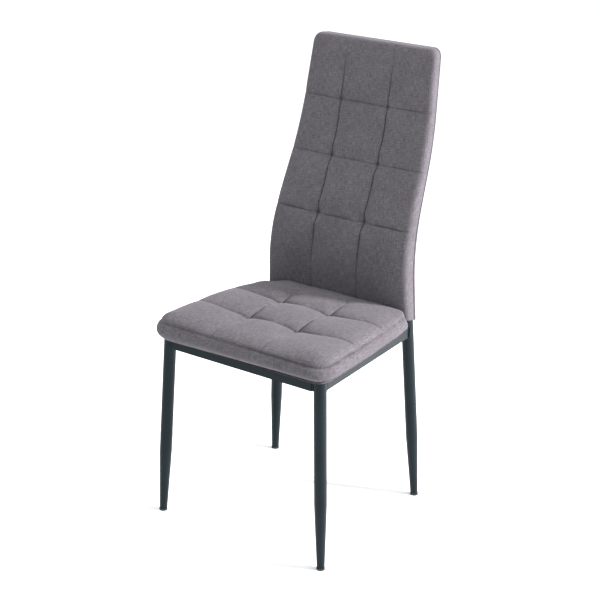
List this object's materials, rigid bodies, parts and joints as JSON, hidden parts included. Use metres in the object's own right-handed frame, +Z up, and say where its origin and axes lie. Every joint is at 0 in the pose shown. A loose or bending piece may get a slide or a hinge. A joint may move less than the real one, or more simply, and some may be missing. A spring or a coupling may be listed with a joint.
{
  "type": "dining chair",
  "caption": "Dining chair with a quilted upholstered seat and a tall, curved, quilted back on a steel tube frame with splayed, tapered round legs.",
  "frame": {"origin": "on the floor, at the middle of the chair's overall width and depth", "axes": "+Z up, -Y to the front of the chair, +X to the right as seen from the front"},
  "size_m": [0.42, 0.497, 0.957],
  "materials": {
    "steel": "dark charcoal powder coat, semi-gloss",
    "plastic": "black polyethylene, matte",
    "webbing": "woven elastic webbing",
    "plywood": "raw plywood",
    "foam": "open-cell polyurethane foam",
    "upholstery": "woven melange upholstery cloth, matte",
    "lining": "thin non-woven lining cloth",
    "zinc": "zinc-plated steel",
    "twine": "waxed tufting twine"
  },
  "bodies": {
    "root": {"front_leg_left": "steel", "front_leg_right": "steel", "rear_leg_left": "steel", "rear_leg_right": "steel", "front_rail": "steel", "rear_rail": "steel", "left_rail": "steel", "right_rail": "steel", "corner_plate_front_left": "steel", "corner_plate_front_right": "steel", "corner_plate_rear_left": "steel", "corner_plate_rear_right": "steel", "back_bar_low": "steel", "back_bar_middle": "steel", "back_bar_top": "steel", "glide_front_left": "plastic", "glide_front_right": "plastic", "glide_rear_left": "plastic", "glide_rear_right": "plastic", "leg_plug_left": "plastic", "leg_plug_right": "plastic", "upright_plug_left": "plastic", "upright_plug_right": "plastic", "back_strap_1": "webbing", "back_strap_2": "webbing", "back_strap_3": "webbing", "back_strap_4": "webbing", "back_strap_5": "webbing", "seat_board": "plywood", "seat_foam": "foam", "back_foam_front": "foam", "back_foam_rear": "foam", "seat_cover": "upholstery", "back_cover_front": "upholstery", "back_cover_rear": "upholstery", "seat_lining": "lining", "seat_screws": "zinc", "tee_nuts": "zinc", "seat_staples": "zinc", "seat_twines": "twine", "back_twines": "twine"}
  },
  "joints": []
}
